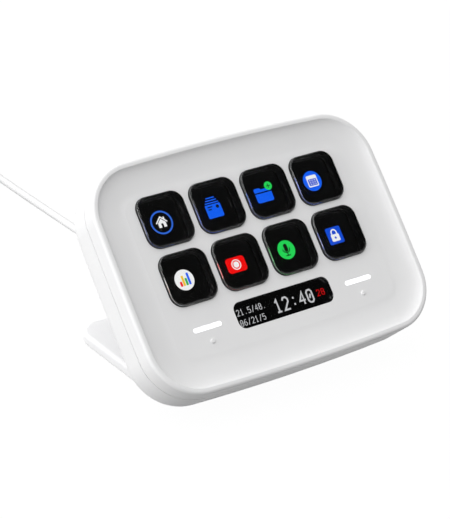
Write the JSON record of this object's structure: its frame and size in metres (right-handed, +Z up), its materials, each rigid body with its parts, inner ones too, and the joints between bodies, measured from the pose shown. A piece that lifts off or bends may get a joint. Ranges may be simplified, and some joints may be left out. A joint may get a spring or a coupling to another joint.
{
  "type": "macro keypad",
  "caption": "Tilted desk keypad with clear picture keys in a dished white housing, an info bar, a slide-off bent stand and a thin fixed cord with its plug.",
  "frame": {"origin": "middle of the foot pad's underside, on the desk", "axes": "+X to the right along the keypad's width, +Y to the back, +Z up; the face leans back and looks towards -Y and +Z"},
  "size_m": [0.1084, 0.2682, 0.074],
  "materials": {
    "shell_white": "fine matte moulded white",
    "stand_white": "white powder coat on bent steel sheet",
    "keycap_clear": "polished clear acrylic",
    "silicone": "dark silicone sheet",
    "contact_film": "thin black printed film",
    "display_glass": "polished display glass",
    "light_guide": "white light guide",
    "dark_frame": "dark moulded frame",
    "flex_film": "amber polyimide film",
    "clear_lens": "polished smoked clear lens",
    "diffuser": "milky diffuser",
    "copper_foil": "bare copper foil",
    "spring_contact": "gold plated spring contact",
    "circuit_board": "green solder mask",
    "screw_steel": "plated steel",
    "chip_black": "black moulding compound",
    "lamp_white": "pale lamp resin",
    "connector_cream": "cream connector housing",
    "ballast_steel": "bare steel plate",
    "magnet_nickel": "nickel plated magnet",
    "pad_rubber": "grey silicone pad",
    "cord_white": "soft white cord jacket",
    "tie_white": "flat white tie",
    "plug_white": "satin moulded white",
    "plug_steel": "drawn steel shell"
  },
  "bodies": {
    "stand": {"stand": "stand_white", "foot_pad": "pad_rubber", "stand_magnets": "magnet_nickel"},
    "housing": {"front_shell": "shell_white", "rear_shell": "shell_white", "key_membrane": "silicone", "contact_sheet": "contact_film", "key_panel": "display_glass", "key_backlight": "light_guide", "display_chassis": "dark_frame", "key_flex": "flex_film", "info_flex": "flex_film", "info_lens": "clear_lens", "info_panel": "display_glass", "light_bar_left": "diffuser", "light_bar_right": "diffuser", "touch_electrodes": "copper_foil", "touch_contacts": "spring_contact", "main_board": "circuit_board", "board_screws": "screw_steel", "controller_chips": "chip_black", "board_leds": "lamp_white", "flex_connectors": "connector_cream", "cord_header": "connector_cream", "ballast_plate": "ballast_steel", "case_screws": "screw_steel", "chassis_screws": "screw_steel", "strain_relief": "cord_white", "stand_studs": "screw_steel", "cord_stretch": "cord_white", "cord_coil": "cord_white", "cord_tail": "cord_white", "inner_lead": "cord_white", "cord_tie": "tie_white", "plug_body": "plug_white", "plug_shell": "plug_steel"},
    "key_top_1": {"keycap_top_1": "keycap_clear"},
    "key_top_2": {"keycap_top_2": "keycap_clear"},
    "key_top_3": {"keycap_top_3": "keycap_clear"},
    "key_top_4": {"keycap_top_4": "keycap_clear"},
    "key_bottom_1": {"keycap_bottom_1": "keycap_clear"},
    "key_bottom_2": {"keycap_bottom_2": "keycap_clear"},
    "key_bottom_3": {"keycap_bottom_3": "keycap_clear"},
    "key_bottom_4": {"keycap_bottom_4": "keycap_clear"}
  },
  "joints": [
    {"name": "stand_release", "type": "slide", "parent": "stand", "child": "housing", "axis": [0, 0.6521, 0.7581], "range_m": [0, 0.022]},
    {"name": "key_top_1_press", "type": "slide", "parent": "housing", "child": "key_top_1", "axis": [0, 0.7581, -0.6521], "range_m": [0, 0.001], "stiffness_N_per_m": 300, "springref_m": -0.001},
    {"name": "key_top_2_press", "type": "slide", "parent": "housing", "child": "key_top_2", "axis": [0, 0.7581, -0.6521], "range_m": [0, 0.001], "stiffness_N_per_m": 300, "springref_m": -0.001},
    {"name": "key_top_3_press", "type": "slide", "parent": "housing", "child": "key_top_3", "axis": [0, 0.7581, -0.6521], "range_m": [0, 0.001], "stiffness_N_per_m": 300, "springref_m": -0.001},
    {"name": "key_top_4_press", "type": "slide", "parent": "housing", "child": "key_top_4", "axis": [0, 0.7581, -0.6521], "range_m": [0, 0.001], "stiffness_N_per_m": 300, "springref_m": -0.001},
    {"name": "key_bottom_1_press", "type": "slide", "parent": "housing", "child": "key_bottom_1", "axis": [0, 0.7581, -0.6521], "range_m": [0, 0.001], "stiffness_N_per_m": 300, "springref_m": -0.001},
    {"name": "key_bottom_2_press", "type": "slide", "parent": "housing", "child": "key_bottom_2", "axis": [0, 0.7581, -0.6521], "range_m": [0, 0.001], "stiffness_N_per_m": 300, "springref_m": -0.001},
    {"name": "key_bottom_3_press", "type": "slide", "parent": "housing", "child": "key_bottom_3", "axis": [0, 0.7581, -0.6521], "range_m": [0, 0.001], "stiffness_N_per_m": 300, "springref_m": -0.001},
    {"name": "key_bottom_4_press", "type": "slide", "parent": "housing", "child": "key_bottom_4", "axis": [0, 0.7581, -0.6521], "range_m": [0, 0.001], "stiffness_N_per_m": 300, "springref_m": -0.001}
  ]
}
